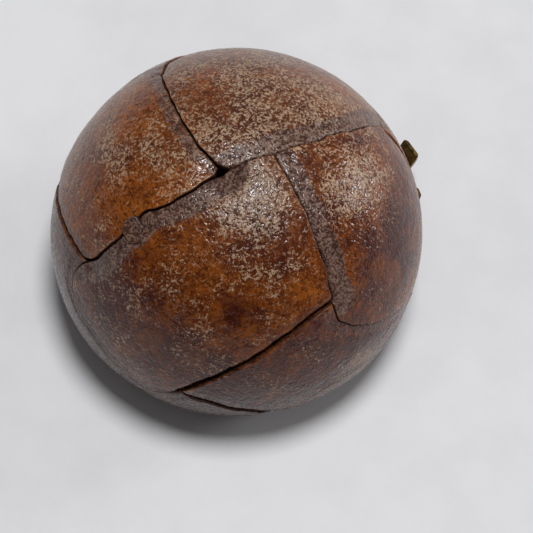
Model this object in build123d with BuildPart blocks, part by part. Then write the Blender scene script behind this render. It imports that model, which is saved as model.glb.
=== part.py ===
from build123d import *
import math
import os

# Woven leather shank button. Millimetres, +Z along the button's axis, dome up.
# The origin is the middle of the flat back, which lies against the garment.

# Overall shape of the woven ball
ball_r = 14.0          # dome radius and largest radius of the button
back_drop = 6.5        # from the ball's centre down to the leather's flat back
shoulder_r = 5.5       # radius of the rounded lower edge, between the dome and the flat back

# Leather strips
strip_t = 0.8          # leather thickness
ply_gap = 0.3          # clearance between one leather layer and the next
seam_gap = 0.3         # open width of a seam between two panels
bridge_reach = 0.6     # how far a covered layer runs past the seam into its own strip
end_gap = 0.6          # gap between the two ends of a strip, hidden below another strip

# Brass back cup
cup_t = 0.3
cup_gap = 0.3          # clearance between the cup and the leather, and round the well
cup_edge_angle = 164   # where the plain cup ends, as an angle round the rounded lower edge
claw_tip_angle = 150   # where the closed claws end, as the same angle
claw_count = 28
claw_w = 1.9
claw_start_angle = 10.6
sprung_claws = {2: (15.4, 0.9), 3: (16.8, 1.8)}  # claw number: radius of the tip, width of the tip
sprung_tip_drop = 3.5  # how far the sprung tips are below the ball's centre
sprung_root_lap = 3    # how far a sprung claw's root laps into the plain cup, in degrees
sprung_bow = 0.2       # how far a sprung claw curls, as a share of its length
tip_round = 0.35       # rounding of a sprung claw's tip corners

# Well in the middle of the back, with the thread loop inside it
well_r = 4.0
well_depth = 3.2
loop_wire_r = 0.55
loop_w = 3.6           # between the wire's legs, centre to centre
loop_recess = 0.3      # how far the loop stays below the flat back
loop_bend_r = 0.8
clinch_reach = 1.6     # length of each leg's bent end
leg_clearance = 0.05

# Hidden inner pieces
packing_w = 1.0
packing_t = 0.9
washer_r = 3.8
washer_t = 0.6
washer_seat_gap = 0.05
pocket_clearance = 0.3

shoulder_drop = back_drop - shoulder_r
shoulder_start = math.degrees(math.asin(shoulder_drop / (ball_r - shoulder_r)))
shoulder_ring_r = math.sqrt((ball_r - shoulder_r) ** 2 - shoulder_drop ** 2)
two_plies = 2 * strip_t + ply_gap
core_depth = two_plies + ply_gap
cup_outer_r = shoulder_r + cup_gap + cup_t
ball_z = back_drop + cup_gap + cup_t
core_bottom_z = ball_z - back_drop + core_depth
well_outer_r = well_r + cup_t
well_top_z = well_depth + cup_t
well_hole_r = well_outer_r + cup_gap
packing_r = well_hole_r + packing_w
washer_z = well_top_z + washer_seat_gap
clinch_z = washer_z + washer_t + loop_wire_r
cut_size = 4 * ball_r

os.makedirs("parts", exist_ok=True)


def ball_body(depth):
    """The woven ball's outline, this far below its surface, around its own centre."""
    dome = ball_r - depth
    shoulder = shoulder_r - depth
    with BuildPart() as body:
        with BuildSketch(Plane.XZ):
            with BuildLine():
                CenterArc((0, 0), dome, -shoulder_start, 90 + shoulder_start)
                CenterArc((shoulder_ring_r, -shoulder_drop), shoulder, -90, 90 - shoulder_start)
                Polyline((shoulder_ring_r, depth - back_drop), (0, depth - back_drop), (0, dome))
            make_face()
        revolve(axis=Axis.Z)
    return body.part


def layer(top_depth, bottom_depth):
    """The shell between two depths below the ball's surface."""
    with BuildPart() as shell:
        add(ball_body(top_depth))
        add(ball_body(bottom_depth), mode=Mode.SUBTRACT)
    return shell.part


def seam_planes(cell):
    """The four seam planes round a cell, as inward normals."""
    normals = []
    free = [0, 1, 2][[abs(c) for c in cell].index(0)]
    for axis in range(3):
        if axis == free:
            continue
        for side in (1, -1):
            normal = [0, 0, 0]
            normal[axis] = cell[axis]
            normal[free] = side
            normals.append(tuple(normal))
    return normals


def next_cell(cell, normal):
    """The cell on the other side of a seam plane."""
    return tuple(c - n for c, n in zip(cell, normal))


def is_strip_end(cell, normal, strip_cells):
    """Whether the strip runs on across this seam, and not along it."""
    return next_cell(cell, normal) in strip_cells


def keep_inside(normal, inset):
    """Trim the current part to one side of a seam plane moved inwards by inset."""
    direction = Vector(*normal).normalized()
    seam = Plane(origin=direction * inset, z_dir=direction)
    split(bisect_by=seam, keep=Keep.TOP)


def over_panel(cell):
    """The part of a strip that shows on the ball's surface."""
    with BuildPart() as panel:
        add(outer_layer)
        for normal in seam_planes(cell):
            keep_inside(normal, seam_gap / 2)
    return panel.part


def dive_wall(cell, end_normal):
    """The bent edge where a showing panel dives down to pass below its neighbour."""
    with BuildPart() as wall:
        add(both_layers)
        for normal in seam_planes(cell):
            keep_inside(normal, seam_gap / 2)
        outward = tuple(-n for n in end_normal)
        keep_inside(outward, -(seam_gap / 2 + strip_t))
    return wall.part


def under_ply(cell, strip_cells):
    """The part of a strip that runs hidden below another strip's panel."""
    side_inset = seam_gap / 2 + strip_t + ply_gap
    with BuildPart() as ply:
        add(inner_layer)
        for normal in seam_planes(cell):
            if is_strip_end(cell, normal, strip_cells):
                keep_inside(normal, -bridge_reach)
            else:
                keep_inside(normal, side_inset)
    return ply.part


def make_strip():
    """One woven strip: three showing panels and three covered plies in a ring, open at the back."""
    over_cells = [(0, -1, 1), (1, 0, -1), (-1, 1, 0)]
    under_cells = [(-1, 0, 1), (1, -1, 0), (0, 1, -1)]
    strip_cells = over_cells + under_cells
    strip_axis = Vector(1, 1, 1)
    end_cell = Vector(0, 1, -1).normalized()
    end_run = strip_axis.cross(end_cell).normalized()
    with BuildPart() as strip:
        for cell in over_cells:
            add(over_panel(cell))
            for normal in seam_planes(cell):
                if is_strip_end(cell, normal, strip_cells):
                    add(dive_wall(cell, normal))
        for cell in under_cells:
            add(under_ply(cell, strip_cells))
        gap_plane = Plane(origin=end_cell * (ball_r - core_depth), x_dir=end_run, z_dir=end_cell)
        with Locations(gap_plane.location):
            Box(end_gap, ball_r, ball_r - shoulder_r, mode=Mode.SUBTRACT)
        with Locations((0, 0, -back_drop)):
            Cylinder(well_hole_r, 2 * core_depth, mode=Mode.SUBTRACT)
    return strip.part


outer_layer = layer(0, strip_t)
inner_layer = layer(strip_t + ply_gap, two_plies)
both_layers = layer(0, two_plies)

# The four strips are alike, each a quarter turn on from the last
woven_strip = make_strip()
for turn, strip_name in enumerate(["strip_a", "strip_b", "strip_c", "strip_d"]):
    with BuildPart() as leather_strip:
        with Locations(Location((0, 0, ball_z), (0, 0, 90 * turn))):
            add(woven_strip)
    leather_strip.part.label = strip_name
    export_step(leather_strip.part, f"parts/{strip_name}.step")

# Core, with a pocket over the well and a shallower one for the packing ring round it
with BuildPart() as core:
    with Locations((0, 0, ball_z)):
        add(ball_body(core_depth))
    with BuildSketch(Plane.XY.offset(core_bottom_z)):
        Circle(packing_r + pocket_clearance)
    extrude(amount=packing_t + pocket_clearance, mode=Mode.SUBTRACT)
    with BuildSketch(Plane.XY.offset(core_bottom_z)):
        Circle(well_hole_r)
    extrude(amount=clinch_z + loop_wire_r + pocket_clearance - core_bottom_z, mode=Mode.SUBTRACT)
core.part.label = "core"
export_step(core.part, "parts/core.step")

# Felt packing ring round the well
with BuildPart() as packing_ring:
    with BuildSketch(Plane.XY.offset(core_bottom_z)):
        Circle(packing_r)
        Circle(well_hole_r, mode=Mode.SUBTRACT)
    extrude(amount=packing_t)
packing_ring.part.label = "packing_ring"
export_step(packing_ring.part, "parts/packing_ring.step")

# Washer that the loop's legs are clinched over
with BuildPart() as clinch_washer:
    with BuildSketch(Plane.XY.offset(washer_z)):
        Circle(washer_r)
        with GridLocations(loop_w, 0, 2, 1):
            Circle(loop_wire_r + leg_clearance, mode=Mode.SUBTRACT)
    extrude(amount=washer_t)
clinch_washer.part.label = "clinch_washer"
export_step(clinch_washer.part, "parts/clinch_washer.step")


def shoulder_point(radius, angle):
    """A point on the rounded lower edge, at this radius of curve and angle from the pole."""
    turned = math.radians(angle)
    return (shoulder_ring_r + radius * math.sin(turned), radius * math.cos(turned) - shoulder_drop)


def wall_profile(end_angle):
    """The cup's curved wall in section, from the edge of the flat back round to this angle."""
    inner = cup_outer_r - cup_t
    sweep = 180 - end_angle
    CenterArc((shoulder_ring_r, -shoulder_drop), inner, -90, sweep)
    Line(shoulder_point(inner, end_angle), shoulder_point(cup_outer_r, end_angle))
    CenterArc((shoulder_ring_r, -shoulder_drop), cup_outer_r, -90, sweep)


def closed_claw():
    """A claw that still lies along the leather."""
    with BuildPart() as claw:
        with BuildSketch(Plane.XZ):
            with BuildLine():
                wall_profile(claw_tip_angle)
                Line((shoulder_ring_r, -ball_z), (shoulder_ring_r, cup_t - ball_z))
            make_face()
        revolve(axis=Axis.Z)
        with Locations((ball_r, 0, 0)):
            Box(2 * (ball_r - shoulder_ring_r), claw_w, cut_size, mode=Mode.INTERSECT)
    return claw.part


def sprung_claw(tip_r, tip_w):
    """A claw that has sprung away from the leather and curled up towards its tip."""
    root = Vector(*shoulder_point(cup_outer_r - cup_t / 2, cup_edge_angle + sprung_root_lap))
    tip = Vector(tip_r - cup_t / 2, -sprung_tip_drop)
    chord = tip - root
    bowed = (root + tip) / 2 + Vector(chord.Y, -chord.X) * sprung_bow
    with BuildPart() as claw:
        with BuildSketch(Plane.XZ):
            with BuildLine():
                ThreePointArc(root, bowed, tip)
            trace(line_width=cup_t)
        extrude(amount=claw_w / 2, both=True)
        with BuildSketch(Plane.XY.offset(-ball_z)) as outline:
            Polygon(
                (root.X - claw_w, -claw_w / 2),
                (root.X + claw_w, -claw_w / 2),
                (tip_r, -tip_w / 2),
                (tip_r, tip_w / 2),
                (root.X + claw_w, claw_w / 2),
                (root.X - claw_w, claw_w / 2),
                align=None,
            )
            fillet(outline.vertices().group_by(Axis.X)[-1], tip_round)
        extrude(amount=ball_z, mode=Mode.INTERSECT)
    return claw.part


# Brass back cup with its ring of claws, and the well in its middle
bent_claw = closed_claw()
with BuildPart() as back_cup:
    with BuildSketch(Plane.XZ):
        with BuildLine():
            wall_profile(cup_edge_angle)
            Polyline(
                (shoulder_ring_r, -ball_z),
                (well_r, -ball_z),
                (well_r, well_depth - ball_z),
                (0, well_depth - ball_z),
                (0, well_top_z - ball_z),
                (well_outer_r, well_top_z - ball_z),
                (well_outer_r, cup_t - ball_z),
                (shoulder_ring_r, cup_t - ball_z),
            )
        make_face()
    revolve(axis=Axis.Z)
    for number in range(claw_count):
        angle = claw_start_angle + number * 360 / claw_count
        with Locations(Location((0, 0, 0), (0, 0, angle))):
            if number in sprung_claws:
                add(sprung_claw(*sprung_claws[number]))
            else:
                add(bent_claw)
    with BuildSketch(Plane.XY.offset(well_depth - ball_z)):
        with GridLocations(loop_w, 0, 2, 1):
            Circle(loop_wire_r + leg_clearance)
    extrude(amount=cup_t, mode=Mode.SUBTRACT)
back_cup.part.label = "back_cup"
back_cup.part.move(Location((0, 0, ball_z)))
export_step(back_cup.part, "parts/back_cup.step")

# Thread loop: one bent wire whose legs pass through the cup and the washer and are clinched over
leg_x = loop_w / 2
clinch_x = leg_x + clinch_reach
crown_z = loop_recess + loop_wire_r
with BuildPart() as thread_loop:
    with BuildLine(Plane.XZ):
        FilletPolyline(
            (-clinch_x, clinch_z),
            (-leg_x, clinch_z),
            (-leg_x, crown_z),
            (leg_x, crown_z),
            (leg_x, clinch_z),
            (clinch_x, clinch_z),
            radius=loop_bend_r,
        )
    with BuildSketch(Plane(origin=(-clinch_x, 0, clinch_z), z_dir=(1, 0, 0))):
        Circle(loop_wire_r)
    sweep()
thread_loop.part.label = "thread_loop"
export_step(thread_loop.part, "parts/thread_loop.step")
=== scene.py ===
import math

import bpy
import numpy as np
from mathutils import Matrix, Vector


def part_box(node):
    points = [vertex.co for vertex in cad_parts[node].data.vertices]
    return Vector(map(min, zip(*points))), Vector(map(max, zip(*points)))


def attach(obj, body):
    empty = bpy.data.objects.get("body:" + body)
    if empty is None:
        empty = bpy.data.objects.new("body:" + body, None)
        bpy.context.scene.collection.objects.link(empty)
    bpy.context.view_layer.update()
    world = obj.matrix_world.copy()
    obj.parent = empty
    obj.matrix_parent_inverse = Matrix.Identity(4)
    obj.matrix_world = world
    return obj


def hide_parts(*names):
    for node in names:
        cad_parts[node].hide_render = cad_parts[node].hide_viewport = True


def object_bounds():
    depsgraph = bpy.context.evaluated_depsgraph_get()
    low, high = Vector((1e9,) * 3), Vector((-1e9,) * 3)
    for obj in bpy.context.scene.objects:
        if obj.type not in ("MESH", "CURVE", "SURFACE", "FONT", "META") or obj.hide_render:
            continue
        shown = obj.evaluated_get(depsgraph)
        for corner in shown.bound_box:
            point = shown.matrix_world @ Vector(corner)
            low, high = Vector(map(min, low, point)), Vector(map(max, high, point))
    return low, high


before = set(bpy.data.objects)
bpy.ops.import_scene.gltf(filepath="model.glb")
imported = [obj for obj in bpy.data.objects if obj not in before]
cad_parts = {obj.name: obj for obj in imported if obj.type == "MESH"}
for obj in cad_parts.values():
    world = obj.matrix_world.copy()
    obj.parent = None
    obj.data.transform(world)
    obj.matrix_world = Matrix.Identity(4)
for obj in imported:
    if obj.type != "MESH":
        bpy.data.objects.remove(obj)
start_low, start_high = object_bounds()

MM = 0.001

# ---------------------------------------------------------------- the ball's shape
# The leather strips' own boxes give the ball: its radius, and the height of its centre.
strip_low, strip_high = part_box("strip_a")
BALL_R = round((strip_high.x - strip_low.x) / 2 / MM, 1)
BALL_Z = round(strip_high.z / MM, 1) - BALL_R
BACK_DROP = BALL_Z - round(strip_low.z / MM, 1)   # from the ball's centre to the leather's flat back
SHOULDER_R = 5.5                                  # rounded edge between the dome and the flat back
RING_DROP = BACK_DROP - SHOULDER_R                # centre circle of that rounding: its drop,
HUB = BALL_R - SHOULDER_R                         # its distance from the ball's centre
RING_R = math.sqrt(HUB ** 2 - RING_DROP ** 2)     # and its radius
LEATHER_T = 0.72                                  # thickness of the leather
PLY_DEPTH = 0.97                                  # how deep a strip is where it passes below a seam
UNDER_DEPTH = 1.1                                 # how deep a covered strip runs


def reach(direction, depth):
    """How far the ball's surface, this deep, is from the ball's centre along unit directions."""
    sin_p = np.hypot(direction[..., 0], direction[..., 1])
    cos_p = direction[..., 2]
    shoulder = SHOULDER_R - depth
    along = RING_R * sin_p - RING_DROP * cos_p
    low = along + np.sqrt(np.maximum(along ** 2 - HUB ** 2 + shoulder ** 2, 0))
    flat = (BACK_DROP - depth) / np.maximum(np.abs(cos_p), 1e-6)
    low = np.where(low * sin_p < RING_R, flat, low)
    return np.where(cos_p >= -RING_DROP / HUB, BALL_R - depth, low)


def unit(v):
    return v / np.linalg.norm(v, axis=-1, keepdims=True)


def lattice(ix, iy, iz, seed):
    """A repeatable random value from -1 to 1 at whole-number points."""
    h = ix * 127.1 + iy * 311.7 + iz * 74.7 + seed * 53.3
    s = np.sin(h) * 43758.5453
    return 2 * (s - np.floor(s)) - 1


def noise(p, scale, seed):
    """Smooth noise from -1 to 1 at points p, with this many cells per unit."""
    q = p * scale + 100.0
    i = np.floor(q)
    f = q - i
    w = f * f * (3 - 2 * f)
    total = 0
    for dx in (0, 1):
        for dy in (0, 1):
            for dz in (0, 1):
                share = (w[..., 0] if dx else 1 - w[..., 0])
                share = share * (w[..., 1] if dy else 1 - w[..., 1])
                share = share * (w[..., 2] if dz else 1 - w[..., 2])
                total = total + share * lattice(i[..., 0] + dx, i[..., 1] + dy, i[..., 2] + dz, seed)
    return total


def smooth(x):
    x = np.clip(x, 0, 1)
    return x * x * (3 - 2 * x)


# ---------------------------------------------------------------- the weave
# Four strips cross at twelve places. Each crossing is a four-cornered panel whose corners are the
# six four-way points, on the axes, and the eight three-way points, on the diagonals.
# A worn hand weave isn't regular: each corner's angle from the dome's pole and its angle round the
# axis are given here in degrees. Those round the front panels, and most of the bows below, were
# worked out from the photo by a scratch program and rounded, as report.md says.
CORNERS = {
    (0, 0, 1): (8.6, -119),
    (1, -1, 1): (53.5, -38.5),
    (-1, -1, 1): (63, -139),
    (-1, 1, 1): (48, 140),
    (1, 1, 1): (59.5, 43.5),
    (0, -1, 0): (86, -92),
    (1, 0, 0): (91, -6),
    (-1, 0, 0): (81, -179),
    (0, 1, 0): (88, 91),
    (1, -1, -1): (101, -62),
    (-1, -1, -1): (121, -141),
    (1, 1, -1): (123, 46),
    (-1, 1, -1): (126, 133),
    (0, 0, -1): (180, 0),
}
POLE = (0, 0, 1)
POLE_SPLIT = (8.9, 12.5)     # where the pole's two right-hand seams start, off to one side

SEAM_POINTS = 161            # points along a seam
LEAD_IN_POINTS = 24          # points from the pole's junction to its split
BOW_SPAN = 9                 # how many points a bow is averaged over, to round its knots
BOW_FADE = 60                # how fast a bow starts at a corner
# A cut edge's unevenness, as (waves per unit, seed step, millimetres)
WOBBLE_RUN = 2.6
WOBBLES = [(1.0, 0, 0.12), (4.0, 5, 0.07), (11.0, 9, 0.05)]

# Sideways bows of the seams, as (share of the length, millimetres), seen from the first corner.
BOWS = {
    ((-1, 1, 1), (0, 0, 1)): [(0.35, -0.6), (0.6, -0.8), (0.8, -0.65)],
    ((0, 0, 1), (-1, -1, 1)): [(0.26, 0.4), (0.34, 0.37), (0.47, -0.1), (0.68, 0.45), (0.9, 0.45)],
    ((-1, -1, 1), (0, -1, 0)): [(0.03, -1.6), (0.1, -2.95), (0.24, -3.3), (0.5, -2.9), (0.85, -2.65)],
    ((0, -1, 0), (1, -1, 1)): [(0.11, 0.38), (0.3, 0.62), (0.57, 0.7), (0.72, 0.45), (0.86, 0.45)],
    ((1, -1, 1), (1, 0, 0)): [(0.1, -1.3), (0.26, -1.45), (0.41, -1.2), (0.55, -0.84), (0.75, -0.2)],
    ((1, 0, 0), (1, -1, -1)): [(0.33, -0.6), (0.49, -2.2), (0.58, -2.7), (0.68, -3.2), (0.84, -2.2)],
    ((0, -1, 0), (1, -1, -1)): [(0.3, 0.6), (0.7, 0.5)],
    ((0, 0, 1), (1, 1, 1)): [(0.12, -0.1), (0.3, -0.38), (0.6, -0.3)],
    ((1, 1, 1), (1, 0, 0)): [(0.15, 1.3), (0.4, 2.5), (0.7, 2.2), (0.9, 1.0)],
    ((-1, 1, 1), (-1, 0, 0)): [(0.15, -1.7), (0.4, -2.7), (0.7, -2.3), (0.9, -1.0)],
    ((-1, 1, 1), (0, 1, 0)): [(0.15, 1.3), (0.4, 2.0), (0.7, 1.5)],
}


def from_angles(polar, round_axis):
    p, a = math.radians(polar), math.radians(round_axis)
    return np.array([math.sin(p) * math.cos(a), math.sin(p) * math.sin(a), math.cos(p)])


def seam_path(a, b, from_split=False, count=SEAM_POINTS):
    """Directions along the seam between two corners."""
    if (a, b) not in BOWS and ((b, a) in BOWS or b == POLE or (a != POLE and b < a)):
        return seam_path(b, a, from_split, count)[::-1]
    start, end = from_angles(*CORNERS[a]), from_angles(*CORNERS[b])
    if from_split:
        start = from_angles(*POLE_SPLIT)
    share = np.linspace(0, 1, count)
    angle = math.acos(float(start @ end))
    line = (np.sin((1 - share) * angle)[:, None] * start + np.sin(share * angle)[:, None] * end)
    line /= math.sin(angle)
    side = np.cross(start, end)
    side /= np.linalg.norm(side)
    bow = np.zeros(count)
    if (a, b) in BOWS:
        knots = [(0, 0)] + BOWS[(a, b)] + [(1, 0)]
        bow = np.interp(share, [k[0] for k in knots], [k[1] for k in knots])
        soft = np.ones(BOW_SPAN) / BOW_SPAN
        bow = np.convolve(np.pad(bow, BOW_SPAN // 2, mode="edge"), soft, mode="valid")
        bow *= np.clip(np.minimum(share, 1 - share) * BOW_FADE, 0, 1)
    seed = sum((k + 2) * v for k, v in enumerate(a)) + 3 * sum((k + 2) * v for k, v in enumerate(b))
    along = np.stack([share * WOBBLE_RUN, share * 0, share * 0], axis=-1)
    wobble = sum(noise(along, scale, seed + step) * size for scale, step, size in WOBBLES)
    bow = bow + wobble * np.sin(math.pi * share) ** 0.5
    return spread_evenly(unit(line + side * np.tan(bow / BALL_R)[:, None]), count)


def spread_evenly(run, count):
    """The same run of directions, with its points evenly spaced along it."""
    step = np.r_[0, np.cumsum(np.linalg.norm(np.diff(run, axis=0), axis=1))]
    share = np.linspace(0, step[-1], count)
    return unit(np.stack([np.interp(share, step, run[:, k]) for k in range(3)], axis=-1))


def join(first, second, count=SEAM_POINTS):
    """Two runs of directions as one."""
    return spread_evenly(np.concatenate([first, second[1:]]), count)


PANEL_C, PANEL_D, PANEL_B, PANEL_A = (0, -1, 1), (1, 0, 1), (0, 1, 1), (-1, 0, 1)


def panel_side(a, b, panel):
    """A panel's edge between two of its corners."""
    if POLE not in (a, b):
        return seam_path(a, b)
    other = b if a == POLE else a
    split_seams = [(1, 1, 1), (1, -1, 1)]
    if other not in split_seams:
        return seam_path(a, b)
    run = seam_path(POLE, other, from_split=True)
    if panel != PANEL_D:
        lead_in = np.linspace(from_angles(*CORNERS[POLE]), from_angles(*POLE_SPLIT), LEAD_IN_POINTS)
        run = join(unit(lead_in), run)
    return run if a == POLE else run[::-1]


def strip_cells(turn):
    """A strip's six crossings in order, whether it is on top at each, and the axis it runs round."""
    base = [(0, 1, -1), (-1, 1, 0), (-1, 0, 1), (0, -1, 1), (1, -1, 0), (1, 0, -1)]
    on_top = [False, True, False, True, False, True]

    def turned(c):
        for _ in range(turn):
            c = (-c[1], c[0], c[2])
        return c

    axis = turned((1, 1, 1))
    return [turned(c) for c in base], on_top, axis


def panel_corners(cell):
    """A panel's two four-way and two three-way corners."""
    fours, threes = [], []
    free = [abs(v) for v in cell].index(0)
    for axis in range(3):
        if axis != free:
            four = [0, 0, 0]
            four[axis] = cell[axis]
            fours.append(tuple(four))
    for sign in (1, -1):
        three = list(cell)
        three[free] = sign
        threes.append(tuple(three))
    return fours + threes


def shared_corners(cell, after, axis):
    """The two corners that neighbouring panels share, the strip's low side first."""
    both = [c for c in panel_corners(cell) if c in panel_corners(after)]
    return sorted(both, key=lambda c: sum(x * y for x, y in zip(c, axis)))


def spread(count, bunch):
    """Shares from 0 to 1, closer together at both ends."""
    even = np.linspace(0, 1, count)
    return (1 - bunch) * even + bunch * (1 - np.cos(math.pi * even)) / 2


def at(run, share):
    places = np.linspace(0, 1, len(run))
    return np.stack([np.interp(share, places, run[:, k]) for k in range(3)], axis=-1)


def patch(low_side, high_side, first_end, last_end, s, t):
    """Directions inside a panel from its four edges; s runs along the strip and t across it."""
    c0, c1 = at(low_side, s), at(high_side, s)
    d0, d1 = at(first_end, t), at(last_end, t)
    s, t = s[..., None], t[..., None]
    blend = (1 - t) * c0 + t * c1 + (1 - s) * d0 + s * d1
    corners = (1 - s) * (1 - t) * low_side[0] + s * (1 - t) * low_side[-1]
    corners = corners + (1 - s) * t * high_side[0] + s * t * high_side[-1]
    return unit(blend - corners)


def grid_lengths(points, axis):
    """Distance from each line of a grid of points back to its first line, and its whole length."""
    step = np.linalg.norm(np.diff(points, axis=axis), axis=-1)
    run = np.cumsum(step, axis=axis)
    zero = np.zeros_like(np.take(run, [0], axis=axis))
    run = np.concatenate([zero, run], axis=axis)
    return run, np.take(run, [-1], axis=axis)


# Each panel's look: its tone from tan (0) to dark red-brown (1), its pale dust, its grey film, partly a
# painted sheen.
PANEL_LOOK = {
    PANEL_A: (0.2, 0.52, 0.0),
    PANEL_B: (0.45, 0.72, 0.12),
    PANEL_C: (0.64, 0.46, 0.0),
    PANEL_D: (0.66, 0.5, 0.0),
    (1, -1, 0): (0.8, 0.3, 0.0),
    (-1, -1, 0): (0.85, 0.35, 0.1),
    (1, 1, 0): (0.7, 0.5, 0.15),
    (-1, 1, 0): (0.6, 0.5, 0.15),
}
OTHER_LOOK = (0.85, 0.4, 0.15)

# Worn, dusty or stained places, and two of painted light and shade, as (polar angle, angle round
# the axis, radius in mm) and what they add to the panel's look there. Most places came the way that the
# front corners did.
STAINS = [
    ((39, -139, 3.6), (-0.15, -0.22, -0.1)),
    ((21, -160, 2.6), (0.0, 0.3, 0.15)),
    ((42, -177, 3.0), (0.05, 0.2, 0.1)),
    ((62, 175, 2.6), (0.2, 0.1, 0.2)),
    ((60, -150, 2.0), (-0.1, -0.3, 0.1)),
    ((30, 128, 3.0), (-0.2, 0.05, 0.0)),
    ((17, 77, 3.6), (0.1, 0.2, 0.2)),
    ((44, 62, 3.4), (-0.1, 0.05, 0.1)),
    ((38, -97, 4.6), (-0.12, -0.05, -0.1)),
    ((31, -55, 3.2), (0.0, 0.1, 0.0)),
    ((40, -80, 2.6), (-0.25, 0.1, 0.0)),
    # partly real dust and grey film, partly a painted highlight and sheen where the ceiling light glints
    ((12, -60, 2.8), (-0.1, 0.8, 0.7)),
    ((60, -125, 3.0), (0.3, 0.0, 0.1)),
    ((62, -98, 3.4), (0.35, -0.1, 0.0)),
    # painted shade: darker low down at the front, where the ball nears the floor
    ((104, -84, 6.0), (0.3, -0.5, -0.2)),
    ((47, -76, 1.3), (0.6, -0.3, 0.0)),
    ((69, -90, 2.0), (0.1, 0.3, 0.15)),
    ((46, -46, 2.0), (-0.35, -0.1, -0.2)),
    ((38, 9, 3.6), (-0.1, 0.5, 0.1)),
    ((30, 30, 2.4), (-0.1, -0.1, 0.0)),
    ((47, -25, 3.6), (0.15, -0.45, 0.0)),
    ((60, 4, 3.4), (0.2, -0.5, 0.0)),
    ((72, -62, 3.6), (-0.1, 0.0, -0.1)),
    ((75, -29, 2.8), (0.1, -0.3, 0.0)),
    ((86, -34, 1.9), (-0.4, 1.0, 0.3)),
    ((84, -60, 2.6), (0.1, 0.2, 0.0)),
]


def seam(*corners):
    return frozenset(corners)


# Where a panel bends down to pass below the next one: the width of the bent band, in millimetres,
# and how grey that band has worn.
BENT_BANDS = {
    (PANEL_A, seam(POLE, (-1, 1, 1))): (1.05, 0.8),
    (PANEL_A, seam((-1, -1, 1), (-1, 0, 0))): (0.85, 0.7),
    (PANEL_C, seam(POLE, (-1, -1, 1))): (1.8, 1.0),
    (PANEL_C, seam((0, -1, 0), (1, -1, 1))): (0.5, 0.0),
    (PANEL_B, seam(POLE, (1, 1, 1))): (1.5, 0.9),
    (PANEL_B, seam((-1, 1, 1), (0, 1, 0))): (0.9, 0.4),
    (PANEL_D, seam(POLE, (1, -1, 1))): (1.55, 1.0),
    (PANEL_D, seam((1, 1, 1), (1, 0, 0))): (0.7, 0.0),
}
OTHER_BAND = (1.1, 0.6)

# How wide a seam gapes, in millimetres, where it isn't as the rest.
SEAM_GAPS = {
    seam((0, -1, 0), (1, -1, 1)): 0.13,
    seam((1, -1, 1), (1, 0, 0)): 0.0,
    seam(POLE, (1, 1, 1)): 0.02,
}
OTHER_GAP = 0.03
# Seams pressed nearly shut, and how much of the usual crease is left in them
TIGHT_SEAMS = {
    seam((1, -1, 1), (1, 0, 0)): 0.35,
    seam(POLE, (1, 1, 1)): 0.7,
}
# Corners where the panels have drawn apart, and how far
OPEN_CORNERS = {
    (PANEL_A, POLE): 0.42,
    (PANEL_B, POLE): 0.42,
    (PANEL_C, POLE): 0.22,
    (PANEL_A, (-1, -1, 1)): 0.4,
    (PANEL_C, (-1, -1, 1)): 0.3,
    (PANEL_C, (0, -1, 0)): 0.1,
    (PANEL_C, (1, -1, 1)): 0.1,
}
# Places where one panel sags: the panel, the place as above, and how deep
SAGS = [
    (PANEL_C, (8, -114, 1.1), 0.6),
    (PANEL_C, (13, -119, 1.3), 0.12),
    (PANEL_A, (12, -133, 0.9), 0.22),
    (PANEL_C, (60, -137, 1.0), 0.2),
    (PANEL_A, (58, -140, 0.9), 0.12),
    (PANEL_C, (10, 8, 0.7), 0.1),
]

SKIN_DEPTH = 0.035       # how far a panel's face lies below the ball's radius
LEDGE_DEPTH = 0.07       # how far the bent band lies below the panel
ROLL_DEPTH = 0.1         # how far it rolls down next to the seam
EDGE_BEND = 0.09         # rounding of a cut edge
# Broad unevenness of the leather's face, as (cells per millimetre, seed, millimetres)
RELIEF = [(0.22, 21, 0.045), (0.6, 22, 0.018), (1.7, 23, 0.014), (3.7, 24, 0.011)]
SECTION_TOP = 132        # points across a strip's upper face
WALL_ROWS = 3            # points down each cut edge
WALL_INNER = 6           # how many points in from a cut edge its wall leans towards
FLOOR_ROWS = 8           # points across a strip's lower face
PANEL_ROWS = 128         # sections along a showing panel
COVERED_ROWS = 22        # sections along a covered stretch
HALF_ROWS = 12           # sections along each half of the covered crossing where the strip ends
STRIP_START, STRIP_END = 0.53, 0.47      # its two ends there, as shares of that crossing


def strip_mesh(name, turn):
    """One strip as a closed band: panels on top, bent down at their ends to run below the next."""
    cells, on_top, axis = strip_cells(turn)
    rows = []
    for index, cell in enumerate(cells):
        before, after = cells[index - 1], cells[(index + 1) % len(cells)]
        low_a, high_a = shared_corners(cell, before, axis)
        low_b, high_b = shared_corners(cell, after, axis)
        low_side = panel_side(low_a, low_b, cell)
        high_side = panel_side(high_a, high_b, cell)
        first_end = panel_side(low_a, high_a, cell)
        last_end = panel_side(low_b, high_b, cell)
        top = on_top[index]
        first_end = matched(first_end, low_side[0], high_side[0])
        last_end = matched(last_end, low_side[-1], high_side[-1])
        if top:
            s_line = spread(PANEL_ROWS, 0.62)
        elif index == 0:
            s_line = None
        else:
            s_line = spread(COVERED_ROWS, 0.3)[1:-1]
        if index == 0:
            halves = [(np.linspace(STRIP_START, 1, HALF_ROWS)[:-1], "start"),
                      (np.linspace(0, STRIP_END, HALF_ROWS)[1:], "end")]
        else:
            halves = [(s_line, "all")]
        for line, part in halves:
            block = section_block(cell, line, top, low_side, high_side, first_end, last_end,
                                  (low_a, high_a, low_b, high_b))
            rows.append((index if part != "end" else len(cells), block))
    rows.sort(key=lambda r: r[0])
    points = np.concatenate([b[0] for _, b in rows])
    marks = np.concatenate([b[1] for _, b in rows])
    looks = np.concatenate([b[2] for _, b in rows])
    return build_band(name, points, marks, looks)


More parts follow.
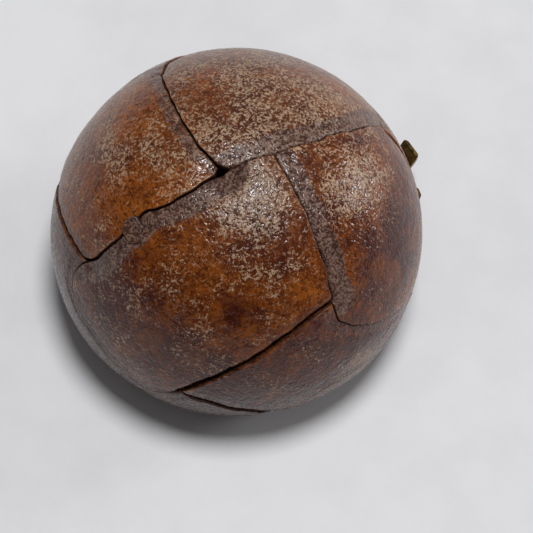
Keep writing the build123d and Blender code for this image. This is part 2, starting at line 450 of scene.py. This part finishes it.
def matched(run, start, end):
    """An edge run whose two ends are moved, smoothly, onto the given corners."""
    share = np.linspace(0, 1, len(run))[:, None]
    fade_in = np.clip(1 - share * 4, 0, 1)
    fade_out = np.clip(1 - (1 - share) * 4, 0, 1)
    return unit(run + fade_in * (start - run[0]) + fade_out * (end - run[-1]))


def nearness(surface, place):
    """How near points are to a place on the ball, from 0 to 1 at its middle."""
    polar, round_axis, radius = place
    middle = from_angles(polar, round_axis) * BALL_R
    away = np.linalg.norm(surface - middle, axis=-1)
    return np.exp(-(away / radius) ** 2)


def distance_to(points, line):
    """How far points are from a line of points joined by straight runs."""
    start, run = line[:-1], np.diff(line, axis=0)
    length_2 = (run ** 2).sum(axis=1)
    nearest = np.full(points.shape[:-1], np.inf)
    for a, b, c in zip(start, run, length_2):
        off = points - a
        share = np.clip(off @ b / c, 0, 1)
        gap_2 = ((off - share[..., None] * b) ** 2).sum(axis=-1)
        nearest = np.minimum(nearest, gap_2)
    return np.sqrt(nearest)


def from_ends(low_side, high_side, first_end, last_end, s_line):
    """How far each cross-section is from the panel's two ends, at its edges and middle."""
    share = np.linspace(0, 1, 60)
    s, t = np.meshgrid(share, [0.0, 0.5, 1.0], indexing="ij")
    whole = patch(low_side, high_side, first_end, last_end, s, t)
    run, total = grid_lengths(whole * reach(whole, 0)[..., None], 0)
    from_first = np.stack([np.interp(s_line, share, run[:, k]) for k in range(3)], axis=-1)
    return from_first, total - from_first


def edge_gap_at(cell, places, near_first, near_last, corners, top, seed):
    """How far a cut edge stands back from its seam, in millimetres."""
    gap = SEAM_GAPS.get(seam(*corners), OTHER_GAP) if top else OTHER_GAP
    gap = gap * (1 + 0.5 * noise(places, 0.9, seed)) + 0.02 * noise(places, 3.1, seed + 1)
    for corner, away in zip(corners, (near_first, near_last)):
        gap = gap + OPEN_CORNERS.get((cell, corner), 0) * np.exp(-(away / 0.5) ** 2)
    if not top:
        gap = gap + 1.5 * smooth(np.minimum(near_first, near_last) / 1.1)
    return np.maximum(gap, 0.01)


def bent_end(surface, cell, corners, end, seed):
    """A showing panel's depth, and its band's greyness and painted shade in its crease, towards an end
    that dives.
    """
    away = distance_to(surface, end * reach(end, 0)[..., None])
    width, grey = BENT_BANDS.get((cell, seam(*corners)), OTHER_BAND)
    gap = SEAM_GAPS.get(seam(*corners), OTHER_GAP)
    width = width * (1 + 0.16 * noise(surface, 0.5, seed) + 0.08 * noise(surface, 1.7, seed + 1))
    ledge = LEDGE_DEPTH * (1 - smooth((away - 0.6 * width) / (0.5 * width)))
    roll = ROLL_DEPTH * np.exp(-away / 0.35)
    open_share = TIGHT_SEAMS.get(seam(*corners), 1.0)
    if open_share < 1:
        open_share = open_share * (1 + 0.8 * noise(surface, 1.3, seed + 2))
    full_crease = PLY_DEPTH - (LEDGE_DEPTH + ROLL_DEPTH) - SKIN_DEPTH
    crease = open_share * full_crease * np.exp(-away / (0.032 + 0.6 * gap))
    band = grey * (1 - smooth((away - width + 0.25) / 0.6))
    # painted shade darkening the seam's crease, where the next panel's edge overhangs
    painted_shade = open_share * np.exp(-away / (0.04 + gap))
    return ledge + roll + crease, band, painted_shade


def section_block(cell, s_line, top, low_side, high_side, first_end, last_end, corners):
    """Cross-sections of the band through one crossing, each a closed ring of points."""
    count = len(s_line)
    low_a, high_a, low_b, high_b = corners
    s, t = np.meshgrid(s_line, [0.0, 0.5, 1.0], indexing="ij")
    coarse = patch(low_side, high_side, first_end, last_end, s, t)
    coarse = coarse * reach(coarse, 0)[..., None]
    width = np.linalg.norm(np.diff(coarse, axis=1), axis=-1).sum(axis=1)
    from_first, to_last = from_ends(low_side, high_side, first_end, last_end, s_line)
    insets = []
    for column, ends in ((0, (low_a, low_b)), (2, (high_a, high_b))):
        places = coarse[:, column]
        near_first, near_last = from_first[:, column], to_last[:, column]
        gap = edge_gap_at(cell, places, near_first, near_last, ends, top, 3 + column)
        insets.append(gap / width)

    tau = spread(SECTION_TOP, 0.6)
    t = insets[0][:, None] + (1 - insets[1] - insets[0])[:, None] * tau[None, :]
    s = np.repeat(s_line[:, None], SECTION_TOP, axis=1)
    directions = patch(low_side, high_side, first_end, last_end, s, t)
    surface = directions * reach(directions, 0)[..., None]
    first = (1 - t) * from_first[:, :1] + t * from_first[:, 2:]
    last = (1 - t) * to_last[:, :1] + t * to_last[:, 2:]
    across, span = grid_lengths(surface, 1)
    edge_gap = np.minimum(across, span - across)

    relief = sum(size * noise(surface, scale, seed) for scale, seed, size in RELIEF)
    if top:
        depth_a, band_a, painted_shade_a = bent_end(surface, cell, (low_a, high_a), first_end, 11)
        depth_b, band_b, painted_shade_b = bent_end(surface, cell, (low_b, high_b), last_end, 13)
        depth = depth_a + depth_b - relief + SKIN_DEPTH
        band = np.maximum(band_a, band_b)
        painted_shade = np.maximum(painted_shade_a, painted_shade_b)
        for panel, place, sag in SAGS:
            if panel == cell:
                depth = depth + sag * nearness(surface, place)
    else:
        end_gap = np.minimum(first, last)
        depth = PLY_DEPTH + (UNDER_DEPTH - PLY_DEPTH) * smooth(end_gap / 0.6) - 0.2 * relief
        band = np.ones_like(end_gap)
        # covered stretches, seen only through the gaps, get painted shade
        painted_shade = np.full_like(end_gap, 0.8)
    bend = EDGE_BEND * (1 + 0.4 * noise(surface, 1.1, 27))
    inside = np.clip(bend - edge_gap, 0, bend)
    depth = depth + bend - np.sqrt(np.maximum(bend ** 2 - inside ** 2, 0))

    placed = directions * (reach(directions, 0) - depth)[..., None]
    low_wall, high_wall = [], []
    for k in range(1, WALL_ROWS + 1):
        down = k / WALL_ROWS
        rough = 0.03 * noise(surface, 3.0, 31 + k)
        for edge, inner, wall in ((0, WALL_INNER, low_wall), (-1, -1 - WALL_INNER, high_wall)):
            d = directions[:, edge]
            toward = unit(directions[:, inner] - d) * (0.04 * down + rough[:, edge])[:, None] / BALL_R
            d = unit(d + toward)
            deep = depth[:, edge] + (LEATHER_T - bend[:, edge]) * down
            wall.append(d * (reach(d, 0) - deep)[:, None])
    floor_tau = np.linspace(0, 1, FLOOR_ROWS + 2)[1:-1]
    pick = np.clip((floor_tau * (SECTION_TOP - 1)).round().astype(int), 0, SECTION_TOP - 1)
    floor_d = directions[:, pick]
    floor_points = floor_d * (reach(floor_d, 0) - depth[:, pick] - LEATHER_T)[..., None]
    ring = [placed, np.stack(high_wall, axis=1), floor_points[:, ::-1], np.stack(low_wall[::-1], axis=1)]
    points = np.concatenate(ring, axis=1)

    hidden = points.shape[1] - SECTION_TOP
    wear = np.exp(-edge_gap / 0.16)
    raw = np.zeros_like(edge_gap)
    raw[:, 0] = raw[:, -1] = 0.8
    marks = np.stack([band, wear, painted_shade, raw], axis=-1)
    marks = np.concatenate([marks, np.tile([0.0, 0.0, 0.0, 1.0], (count, hidden, 1))], axis=1)
    looks = np.tile(np.array(PANEL_LOOK.get(cell, OTHER_LOOK) + (1.0,)), (*points.shape[:2], 1))
    for place, change in STAINS:
        looks[..., :3] += nearness(points, place)[..., None] * np.array(change)
    return points, marks, looks


def build_band(name, points, marks, looks):
    """A closed object from a run of rings of points, with its marks and looks as colour layers."""
    count, ring = points.shape[:2]
    co = points.reshape(-1, 3) * MM
    co[:, 2] += BALL_Z * MM
    a = np.arange(count - 1)[:, None] * ring
    k = np.arange(ring)[None, :]
    n = (k + 1) % ring
    quads = np.stack([a + k, a + ring + k, a + ring + n, a + n], axis=-1).reshape(-1, 4)
    faces = quads.tolist()
    faces.append(list(range(ring)))
    faces.append(list(range((count - 1) * ring, count * ring))[::-1])
    mesh = bpy.data.meshes.new(name)
    mesh.from_pydata(co.tolist(), [], faces)
    mesh.update()
    for label, data in (("marks", marks), ("looks", looks)):
        layer = mesh.color_attributes.new(label, "FLOAT_COLOR", "POINT")
        layer.data.foreach_set("color", data.reshape(-1, 4).astype(np.float32).ravel())
    mesh.polygons.foreach_set("use_smooth", np.ones(len(mesh.polygons), bool))
    obj = bpy.data.objects.new(name, mesh)
    bpy.context.scene.collection.objects.link(obj)
    return obj


# ---------------------------------------------------------------- materials
class Nodes:
    """Short names for building a material's node tree."""

    def __init__(self, name):
        self.material = bpy.data.materials.new(name)
        self.material.use_nodes = True
        self.tree = self.material.node_tree
        self.tree.nodes.clear()
        self.out = self.tree.nodes.new("ShaderNodeOutputMaterial")
        self.bsdf = self.tree.nodes.new("ShaderNodeBsdfPrincipled")
        self.link(self.bsdf.outputs[0], self.out.inputs[0])

    def link(self, a, b):
        self.tree.links.new(a, b)

    def put(self, socket, value):
        if hasattr(value, "is_linked"):
            self.link(value, socket)
        else:
            socket.default_value = value

    def math(self, op, a, b=0.0, clamp=False):
        node = self.tree.nodes.new("ShaderNodeMath")
        node.operation = op
        node.use_clamp = clamp
        self.put(node.inputs[0], a)
        self.put(node.inputs[1], b)
        return node.outputs[0]

    def coords(self, scale=(1, 1, 1), turn=(0, 0, 0)):
        """Object coordinates in millimetres, stretched and turned."""
        where = self.tree.nodes.new("ShaderNodeTexCoord")
        mapping = self.tree.nodes.new("ShaderNodeMapping")
        self.link(where.outputs["Object"], mapping.inputs["Vector"])
        mapping.inputs["Rotation"].default_value = turn
        mapping.inputs["Scale"].default_value = [v / MM for v in scale]
        return mapping.outputs[0]

    def noise(self, where, scale, detail=3.0, rough=0.55, twist=0.0):
        node = self.tree.nodes.new("ShaderNodeTexNoise")
        self.link(where, node.inputs["Vector"])
        node.inputs["Scale"].default_value = scale
        node.inputs["Detail"].default_value = detail
        node.inputs["Roughness"].default_value = rough
        node.inputs["Distortion"].default_value = twist
        return node.outputs["Fac"]

    def cells(self, where, scale, feature="F1"):
        node = self.tree.nodes.new("ShaderNodeTexVoronoi")
        node.feature = feature
        self.link(where, node.inputs["Vector"])
        node.inputs["Scale"].default_value = scale
        return node.outputs["Distance"]

    def step(self, value, low, high, out_low=0.0, out_high=1.0):
        node = self.tree.nodes.new("ShaderNodeMapRange")
        node.interpolation_type = "SMOOTHSTEP"
        self.put(node.inputs["Value"], value)
        self.put(node.inputs["From Min"], low)
        self.put(node.inputs["From Max"], high)
        self.put(node.inputs["To Min"], out_low)
        self.put(node.inputs["To Max"], out_high)
        return node.outputs[0]

    def mix(self, share, a, b, mode="MIX"):
        node = self.tree.nodes.new("ShaderNodeMix")
        node.data_type = "RGBA"
        node.blend_type = mode
        self.put(node.inputs["Factor"], share)
        self.put(node.inputs[6], a)
        self.put(node.inputs[7], b)
        return node.outputs[2]

    def attribute(self, name):
        node = self.tree.nodes.new("ShaderNodeAttribute")
        node.attribute_name = name
        parts = self.tree.nodes.new("ShaderNodeSeparateColor")
        self.link(node.outputs["Color"], parts.inputs[0])
        return (*parts.outputs[:3], node.outputs["Alpha"])

    def bump(self, height, strength, distance, normal=None):
        node = self.tree.nodes.new("ShaderNodeBump")
        node.inputs["Strength"].default_value = strength
        node.inputs["Distance"].default_value = distance
        self.link(height, node.inputs["Height"])
        if normal is not None:
            self.link(normal, node.inputs["Normal"])
        return node.outputs[0]


def rgb(red, green, blue):
    """A linear colour from 0 to 255 screen values."""
    def one(v):
        v /= 255
        return v / 12.92 if v <= 0.04045 else ((v + 0.055) / 1.055) ** 2.4
    return (one(red), one(green), one(blue), 1.0)


def leather_material():
    m = Nodes("worn_leather")
    band, wear, painted_shade, raw = m.attribute("marks")
    tone, dust, film_and_sheen, _ = m.attribute("looks")
    plain = m.coords()
    broad = m.noise(plain, 0.17, 3.0, 0.6)
    blotch = m.noise(plain, 0.55, 4.0, 0.62, 0.3)
    worms = m.noise(plain, 2.6, 2.5, 0.6, 1.4)
    fine = m.noise(plain, 5.8, 2.0, 0.6, 0.9)
    dots = m.noise(plain, 3.9, 1.0, 0.5)

    # The hide's own colour, tan where it is rubbed and dark red-brown where it isn't
    tone = m.math("ADD", tone, m.step(broad, 0.3, 0.7, -0.22, 0.22))
    tone = m.math("ADD", tone, m.step(blotch, 0.36, 0.66, -0.2, 0.3), True)
    hide = m.mix(tone, rgb(140, 74, 16), rgb(66, 21, 6))
    hide = m.mix(m.step(worms, 0.36, 0.54, 0.7, 0.0), hide, rgb(52, 16, 4))
    hide = m.mix(m.step(dots, 0.64, 0.72, 0.0, 0.65), hide, rgb(26, 9, 5))

    # Pale dust caught in the grain, in short crossing threads
    grit = m.math("ADD", m.math("MULTIPLY", worms, 0.56), m.math("MULTIPLY", fine, 0.44))
    dust_drift = m.step(m.noise(plain, 0.36, 3.0, 0.6), 0.3, 0.7, -0.3, 0.3)
    spread_of_dust = m.math("ADD", dust, dust_drift, True)
    cut = m.step(spread_of_dust, 0.0, 1.0, 0.63, 0.495)
    dusty = m.step(grit, m.math("SUBTRACT", cut, 0.015), m.math("ADD", cut, 0.045))
    dust_colour = m.mix(m.step(fine, 0.36, 0.64), rgb(122, 91, 65), rgb(176, 151, 124))
    dust_share = m.math("MULTIPLY", dusty, m.step(spread_of_dust, 0.0, 1.0, 0.3, 0.9))
    colour = m.mix(dust_share, hide, dust_colour)

    # Grey film, partly a painted sheen, on the rims, and the grey, flattened bands where a strip bends
    # down
    film_and_sheen_colour = m.mix(m.step(fine, 0.35, 0.65), rgb(90, 68, 58), rgb(128, 106, 92))
    film_and_sheen_share = m.math("MULTIPLY", film_and_sheen, m.step(blotch, 0.3, 0.65, 0.75, 0.35), True)
    colour = m.mix(film_and_sheen_share, colour, film_and_sheen_colour)
    band_noise = m.noise(plain, 1.5, 4.0, 0.65, 0.6)
    band_edge = m.math("ADD", band, m.step(band_noise, 0.3, 0.7, -0.4, 0.36))
    band_share = m.math("MULTIPLY", m.step(band_edge, 0.2, 0.75), band, True)
    band_colour = m.mix(m.step(grit, 0.42, 0.58), rgb(58, 36, 30), rgb(122, 96, 84))
    band_colour = m.mix(m.step(band_noise, 0.48, 0.66, 0.0, 0.75), band_colour, rgb(46, 24, 18))
    colour = m.mix(m.math("MULTIPLY", band_share, 0.95), colour, band_colour)

    # Rubbed edges, painted shade in the seam creases, on the covered strips and along the lip's free edge,
    # and the fibrous cut edge
    rubbed = m.math("MULTIPLY", wear, m.step(m.noise(plain, 0.9, 2.0), 0.46, 0.62))
    colour = m.mix(m.math("MULTIPLY", rubbed, 0.45), colour, rgb(158, 88, 34))
    colour = m.mix(m.math("MULTIPLY", painted_shade, 0.9), colour, rgb(16, 9, 7))
    raw_colour = m.mix(m.step(grit, 0.4, 0.6), rgb(24, 12, 7), rgb(84, 46, 20))
    colour = m.mix(m.math("MULTIPLY", raw, 0.9), colour, raw_colour)
    m.link(colour, m.bsdf.inputs["Base Color"])

    rough = m.step(grit, 0.42, 0.6, 0.13, 0.34)
    rough = m.math("ADD", rough, m.math("MULTIPLY", dusty, 0.08))
    rough = m.math("ADD", rough, m.math("MULTIPLY", m.math("MAXIMUM", raw, painted_shade), 0.35), True)
    m.link(rough, m.bsdf.inputs["Roughness"])
    m.bsdf.inputs["IOR"].default_value = 1.4
    m.bsdf.inputs["Specular IOR Level"].default_value = 0.56

    pores = m.cells(plain, 2.6, "SMOOTH_F1")
    ridges = m.noise(plain, 2.6, 0.8, 0.5, 1.4)
    height = m.math("ADD", m.math("MULTIPLY", pores, 0.5), m.math("MULTIPLY", ridges, 2.4))
    height = m.math("ADD", height, m.math("MULTIPLY", dusty, 0.2))
    m.link(m.bump(height, 1.0, 0.000028), m.bsdf.inputs["Normal"])
    return m.material


def brass_material():
    m = Nodes("tarnished_brass")
    plain = m.coords()
    blotch = m.noise(plain, 0.7, 4.0, 0.6, 0.4)
    spots = m.noise(plain, 3.2, 3.0, 0.6)
    colour = m.mix(m.step(blotch, 0.4, 0.65), rgb(168, 138, 74), rgb(84, 66, 36))
    colour = m.mix(m.step(spots, 0.5, 0.7), colour, rgb(34, 26, 17))
    m.link(colour, m.bsdf.inputs["Base Color"])
    m.bsdf.inputs["Metallic"].default_value = 0.9
    m.link(m.step(blotch, 0.3, 0.7, 0.34, 0.58), m.bsdf.inputs["Roughness"])
    m.link(m.bump(m.math("ADD", blotch, m.math("MULTIPLY", spots, 0.6)), 0.4, 0.00006),
           m.bsdf.inputs["Normal"])
    return m.material


def wood_material():
    m = Nodes("turned_wood")
    grain = m.noise(m.coords((1.0, 1.0, 0.15)), 0.9, 5.0, 0.6, 1.2)
    m.link(m.mix(m.step(grain, 0.35, 0.65), rgb(92, 66, 44), rgb(60, 42, 28)), m.bsdf.inputs["Base Color"])
    m.link(m.step(grain, 0.3, 0.7, 0.6, 0.8), m.bsdf.inputs["Roughness"])
    m.link(m.bump(grain, 0.3, 0.0001), m.bsdf.inputs["Normal"])
    return m.material


def felt_material():
    m = Nodes("pressed_felt")
    fibre = m.noise(m.coords(), 2.4, 6.0, 0.75, 2.0)
    m.link(m.mix(fibre, rgb(58, 54, 48), rgb(96, 90, 80)), m.bsdf.inputs["Base Color"])
    m.link(m.step(fibre, 0.2, 0.8, 0.85, 1.0), m.bsdf.inputs["Roughness"])
    m.link(m.bump(fibre, 0.6, 0.0002), m.bsdf.inputs["Normal"])
    return m.material


def floor_material():
    m = Nodes("pale_floor")
    wide = m.noise(m.coords(), 0.035, 3.0, 0.5)
    small = m.noise(m.coords(), 0.22, 4.0, 0.55)
    shade = m.math("ADD", m.math("MULTIPLY", wide, 0.6), m.math("MULTIPLY", small, 0.4))
    colour = m.mix(m.step(shade, 0.36, 0.64), rgb(211, 211, 214), rgb(219, 219, 221))
    m.link(colour, m.bsdf.inputs["Base Color"])
    m.link(m.step(small, 0.2, 0.8, 0.72, 0.84), m.bsdf.inputs["Roughness"])
    m.bsdf.inputs["Specular IOR Level"].default_value = 0.2
    m.link(m.bump(small, 0.15, 0.0003), m.bsdf.inputs["Normal"])
    return m.material


leather, brass, wood = leather_material(), brass_material(), wood_material()
felt, floor_paint = felt_material(), floor_material()

# ---------------------------------------------------------------- the pieces
WELL_R = 4.6     # radius of the hole in the leather's back, round the cup's well
WELL_DEPTH = 4.5
CUTTER_START = -1.0     # the cutter starts below the leather
WELL_SIDES = 96


def well_cutter():
    """A closed drum the size of the hole in the leather's back."""
    turns = np.linspace(0, 2 * math.pi, WELL_SIDES, endpoint=False)
    rim = np.stack([np.cos(turns), np.sin(turns)], axis=-1) * WELL_R * MM
    low = np.concatenate([rim, np.full((WELL_SIDES, 1), CUTTER_START * MM)], axis=1)
    high = np.concatenate([rim, np.full((WELL_SIDES, 1), WELL_DEPTH * MM)], axis=1)
    faces = [(k, (k + 1) % WELL_SIDES, WELL_SIDES + (k + 1) % WELL_SIDES, WELL_SIDES + k)
             for k in range(WELL_SIDES)]
    faces.append(tuple(range(WELL_SIDES))[::-1])
    faces.append(tuple(range(WELL_SIDES, 2 * WELL_SIDES)))
    mesh = bpy.data.meshes.new("well_cutter")
    mesh.from_pydata(np.concatenate([low, high]).tolist(), [], faces)
    obj = bpy.data.objects.new("well_cutter", mesh)
    bpy.context.scene.collection.objects.link(obj)
    return obj


def cut_away(obj, cutter):
    """Replace an object's mesh with what the cutter leaves of it."""
    cut = obj.modifiers.new("cut", "BOOLEAN")
    cut.operation = "DIFFERENCE"
    cut.solver = "MANIFOLD"
    cut.object = cutter
    found = obj.evaluated_get(bpy.context.evaluated_depsgraph_get())
    mesh = bpy.data.meshes.new_from_object(found)
    mesh.materials.clear()
    mesh.polygons.foreach_set("material_index", np.zeros(len(mesh.polygons), np.int32))
    obj.modifiers.clear()
    obj.data = mesh


cutter = well_cutter()
for turn, letter in enumerate("abcd"):
    strip = strip_mesh("leather_strip_" + letter, turn)
    cut_away(strip, cutter)
    strip.data.materials.append(leather)
    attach(strip, "root")
    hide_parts("strip_" + letter)

bpy.data.objects.remove(cutter)

LIP_PLACE = (40.0, -132.4)      # in degrees, as the corners
LIP_R = 0.88
LIP_FOOT = 0.25                 # how far the lip's underside runs into the panels
LIP_SIDES = 96
LIP_ROWS = 16


def curled_lip(name):
    """A small lip of worn leather, curled up over the edge of the left-hand panel."""
    middle = from_angles(*LIP_PLACE)
    east = unit(np.cross([0, 0, 1], middle))
    north = np.cross(middle, east)
    turn = np.linspace(0, 2 * math.pi, LIP_SIDES, endpoint=False)
    over = np.linspace(0.04, 1, LIP_ROWS)
    share = np.concatenate([over, over[::-1]])[:, None]
    edge = np.stack([np.cos(turn), np.sin(turn), 0 * turn], axis=-1)
    squared = (np.abs(np.cos(turn)) ** 3 + np.abs(np.sin(turn)) ** 3) ** (-1 / 3)
    radius = LIP_R * squared * (1 + 0.09 * noise(edge, 1.2, 41) + 0.05 * noise(edge, 3.3, 42))
    away = share * radius
    ways = np.cos(turn)[:, None] * east + np.sin(turn)[:, None] * north
    flat = middle * BALL_R + away[..., None] * ways
    outward = unit(flat)
    free = smooth(0.5 - 0.9 * np.cos(turn + 0.6))
    rolled = (0.05 + 0.1 * free) * smooth((share - 0.5) / 0.4)
    height = 0.02 + 0.07 * free + rolled + 0.03 * noise(flat, 1.6, 43)
    upper = np.arange(2 * LIP_ROWS)[:, None] < LIP_ROWS
    height = np.where(upper, height * np.sqrt(1.001 - share ** 10), -LIP_FOOT)
    points = outward * (reach(outward, 0) + height)[..., None]
    # painted shadow along the lip's curled-up free edge, carried in the same layer as the seams' painted
    # shade
    rim = np.exp(-(1 - share) / 0.06) * free
    marks = np.stack([0.9 + 0 * away, 0 * away, rim, 0 * away], axis=-1)
    looks = np.tile(np.array([0.5, 0.5, 0.1, 1.0]), (*away.shape, 1))
    return build_band(name, points[:, ::-1], marks[:, ::-1], looks)


lip = curled_lip("leather_lip")
lip.data.materials.append(leather)
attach(lip, "root")

NODE_MATERIALS = {
    "back_cup": brass,
    "thread_loop": brass,
    "clinch_washer": brass,
    "core": wood,
    "packing_ring": felt,
}
for node, material in NODE_MATERIALS.items():
    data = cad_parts[node].data
    data.materials.clear()
    data.materials.append(material)

# ---------------------------------------------------------------- floor, light and camera
FLOOR_HALF = 1.5
FLOOR_CELLS = 24


def floor_sheet():
    """A wide flat backdrop, just below the object's lowest point."""
    line = np.linspace(-FLOOR_HALF, FLOOR_HALF, FLOOR_CELLS + 1)
    x, y = np.meshgrid(line, line, indexing="ij")
    z = np.full_like(x, start_low.z - 0.02 * MM)
    a = (np.arange(FLOOR_CELLS)[:, None] * (FLOOR_CELLS + 1) + np.arange(FLOOR_CELLS)[None, :]).ravel()
    quads = np.stack([a, a + FLOOR_CELLS + 1, a + FLOOR_CELLS + 2, a + 1], axis=-1)
    mesh = bpy.data.meshes.new("floor")
    mesh.from_pydata(np.stack([x, y, z], axis=-1).reshape(-1, 3).tolist(), [], quads.tolist())
    obj = bpy.data.objects.new("floor", mesh)
    bpy.context.scene.collection.objects.link(obj)
    return obj


floor = floor_sheet()
floor.data.materials.append(floor_paint)

centre = Vector((0, 0, BALL_Z * MM))


def soft_light(name, direction, distance, size, power):
    lamp = bpy.data.lights.new(name, "AREA")
    lamp.shape = "DISK"
    lamp.size = size
    lamp.energy = power
    obj = bpy.data.objects.new(name, lamp)
    bpy.context.scene.collection.objects.link(obj)
    way = Vector(direction).normalized()
    obj.location = centre + way * distance
    obj.rotation_mode = "QUATERNION"
    obj.rotation_quaternion = way.to_track_quat("Z", "Y")


soft_light("window", (0.81, 0.54, 0.25), 1.0, 0.24, 3.0)
soft_light("ceiling", (0.04, 0.07, 1.0), 1.1, 0.32, 9.7)


def studio_world(bright_way, dim, bright):
    """A plain studio, brightest high up behind the object and dim low down in front of it."""
    world = bpy.data.worlds.new("studio")
    bpy.context.scene.world = world
    world.use_nodes = True
    nodes, links = world.node_tree.nodes, world.node_tree.links
    where = nodes.new("ShaderNodeTexCoord")
    facing = nodes.new("ShaderNodeVectorMath")
    facing.operation = "DOT_PRODUCT"
    facing.inputs[1].default_value = Vector(bright_way).normalized()
    links.new(where.outputs["Generated"], facing.inputs[0])
    level = nodes.new("ShaderNodeMapRange")
    level.interpolation_type = "SMOOTHSTEP"
    for name, value in (("From Min", -0.3), ("From Max", 0.95), ("To Min", dim), ("To Max", bright)):
        level.inputs[name].default_value = value
    links.new(facing.outputs["Value"], level.inputs["Value"])
    background = nodes["Background"]
    background.inputs["Color"].default_value = (0.97, 0.98, 1.0, 1.0)
    links.new(level.outputs[0], background.inputs["Strength"])


studio_world((0.1, 0.36, 0.93), 0.04, 0.2)

camera_data = bpy.data.cameras.new("camera")
camera = bpy.data.objects.new("camera", camera_data)
bpy.context.scene.collection.objects.link(camera)
bpy.context.scene.camera = camera
# The photo's viewing angle
AZIMUTH, ELEVATION, ROLL = map(math.radians, (11.4, 65.3, 4.7))
DISTANCE = 13      # in ball radii
back = Vector((math.sin(AZIMUTH) * math.cos(ELEVATION),
               -math.cos(AZIMUTH) * math.cos(ELEVATION), math.sin(ELEVATION)))
sideways = Vector((math.cos(AZIMUTH), math.sin(AZIMUTH), 0))
right = Matrix.Rotation(ROLL, 3, back) @ sideways
up = back.cross(right)
axes = Matrix((right, up, back)).transposed()
camera.matrix_world = Matrix.Translation(centre + back * BALL_R * MM * DISTANCE) @ axes.to_4x4()
camera_data.sensor_width = 36
camera_data.lens = 163
camera_data.shift_x = 0.056
camera_data.shift_y = -0.062
camera_data.clip_start = 0.01
camera_data.clip_end = 10

bpy.context.scene.view_settings.view_transform = "Standard"
